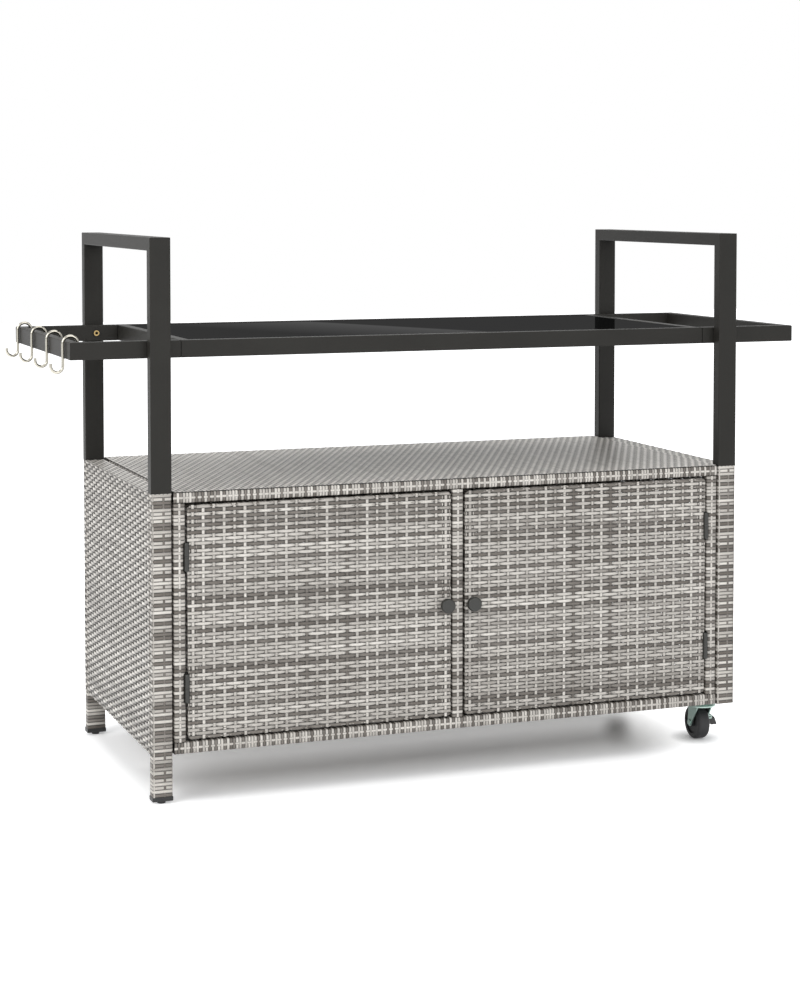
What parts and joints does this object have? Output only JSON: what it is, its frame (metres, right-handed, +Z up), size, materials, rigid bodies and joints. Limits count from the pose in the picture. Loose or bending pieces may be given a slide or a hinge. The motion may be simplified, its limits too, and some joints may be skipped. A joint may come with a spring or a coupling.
{
  "type": "outdoor bar cart",
  "caption": "Outdoor bar cart: woven two-door cabinet on legs and casters, with tube uprights, a glass top and end rails with hooks.",
  "frame": {"origin": "on the floor under the middle of the whole cart, hooks and knobs included", "axes": "+X along the front to the right as the user faces the doors, +Y to the back, +Z up"},
  "size_m": [1.562, 0.611, 1.068],
  "materials": {
    "frame_paint": "satin powder coat",
    "wicker": "woven resin strand",
    "dark_metal": "satin",
    "glass": "black, polished",
    "zinc": "zinc plated",
    "wheel_rubber": "matte",
    "black_plastic": "matte",
    "brass": "plain",
    "hook_steel": "polished nickel plate"
  },
  "bodies": {
    "cart": {"back_frame": "frame_paint", "back_weave": "wicker", "bottom_frame": "frame_paint", "bottom_weave": "wicker", "caster_bolts": "zinc", "deck_frame": "frame_paint", "deck_weave": "wicker", "door_catch": "black_plastic", "frame_hinges": "dark_metal", "frame_sleeves": "frame_paint", "front_caster_kingpin": "zinc", "front_caster_plate": "zinc", "front_frame": "frame_paint", "front_weave": "wicker", "glass_pads": "black_plastic", "glass_top": "glass", "hinge_pins": "zinc", "left_end_frame": "frame_paint", "left_side_frame": "frame_paint", "left_side_weave": "wicker", "left_upright": "frame_paint", "leg_caps": "black_plastic", "panel_bolts": "zinc", "post_bolts": "brass", "rear_caster_kingpin": "zinc", "rear_caster_plate": "zinc", "right_end_frame": "frame_paint", "right_side_frame": "frame_paint", "right_side_weave": "wicker", "right_upright": "frame_paint", "sleeve_screws": "zinc", "top_frame": "frame_paint", "upright_plugs": "black_plastic"},
    "left_door": {"left_door_frame": "frame_paint", "left_door_weave": "wicker", "left_door_hinges": "dark_metal", "left_knob": "dark_metal", "left_knob_screw": "zinc", "left_strike": "zinc"},
    "right_door": {"right_door_frame": "frame_paint", "right_door_weave": "wicker", "right_door_hinges": "dark_metal", "right_knob": "dark_metal", "right_knob_screw": "zinc", "right_strike": "zinc"},
    "front_swivel": {"front_caster_fork": "zinc", "front_caster_axle": "zinc"},
    "front_wheel": {"front_caster_wheel": "wheel_rubber"},
    "front_brake": {"front_caster_brake": "black_plastic"},
    "rear_swivel": {"rear_caster_fork": "zinc", "rear_caster_axle": "zinc"},
    "rear_wheel": {"rear_caster_wheel": "wheel_rubber"},
    "rear_brake": {"rear_caster_brake": "black_plastic"},
    "hook_1": {"s_hook_1": "hook_steel"},
    "hook_2": {"s_hook_2": "hook_steel"},
    "hook_3": {"s_hook_3": "hook_steel"},
    "hook_4": {"s_hook_4": "hook_steel"},
    "front_foot": {"front_leveller": "black_plastic"},
    "back_foot": {"back_leveller": "black_plastic"}
  },
  "joints": [
    {"name": "left_door_hinge", "type": "hinge", "parent": "cart", "child": "left_door", "pos_m": [-0.537, -0.2815, 0.341], "axis": [0, 0, -1], "range_deg": [0, 165]},
    {"name": "right_door_hinge", "type": "hinge", "parent": "cart", "child": "right_door", "pos_m": [0.567, -0.2815, 0.341], "axis": [0, 0, 1], "range_deg": [0, 165]},
    {"name": "front_caster_swivel", "type": "hinge", "parent": "cart", "child": "front_swivel", "pos_m": [0.59775, -0.2095, 0.075], "axis": [0, 0, 1], "continuous": true},
    {"name": "front_wheel_roll", "type": "hinge", "parent": "front_swivel", "child": "front_wheel", "pos_m": [0.59775, -0.1925, 0.035], "axis": [1, 0, 0], "continuous": true},
    {"name": "front_brake_press", "type": "hinge", "parent": "front_swivel", "child": "front_brake", "pos_m": [0.62175, -0.1965, 0.0455], "axis": [0, 1, 0], "range_deg": [0, 20]},
    {"name": "rear_caster_swivel", "type": "hinge", "parent": "cart", "child": "rear_swivel", "pos_m": [0.59775, 0.2335, 0.075], "axis": [0, 0, 1], "continuous": true},
    {"name": "rear_wheel_roll", "type": "hinge", "parent": "rear_swivel", "child": "rear_wheel", "pos_m": [0.59775, 0.2505, 0.035], "axis": [1, 0, 0], "continuous": true},
    {"name": "rear_brake_press", "type": "hinge", "parent": "rear_swivel", "child": "rear_brake", "pos_m": [0.62175, 0.2465, 0.0455], "axis": [0, 1, 0], "range_deg": [0, 20]},
    {"name": "hook_1_slide", "type": "slide", "parent": "cart", "child": "hook_1", "axis": [0, 1, 0], "range_m": [-0.018, 0.07]},
    {"name": "hook_2_slide", "type": "slide", "parent": "cart", "child": "hook_2", "axis": [0, 1, 0], "range_m": [-0.07, 0.07]},
    {"name": "hook_3_slide", "type": "slide", "parent": "cart", "child": "hook_3", "axis": [0, 1, 0], "range_m": [-0.07, 0.07]},
    {"name": "hook_4_slide", "type": "slide", "parent": "cart", "child": "hook_4", "axis": [0, 1, 0], "range_m": [-0.07, 0.022]},
    {"name": "front_foot_screw", "type": "slide", "parent": "cart", "child": "front_foot", "axis": [0, 0, -1], "range_m": [0, 0.012]},
    {"name": "back_foot_screw", "type": "slide", "parent": "cart", "child": "back_foot", "axis": [0, 0, -1], "range_m": [0, 0.012]}
  ]
}
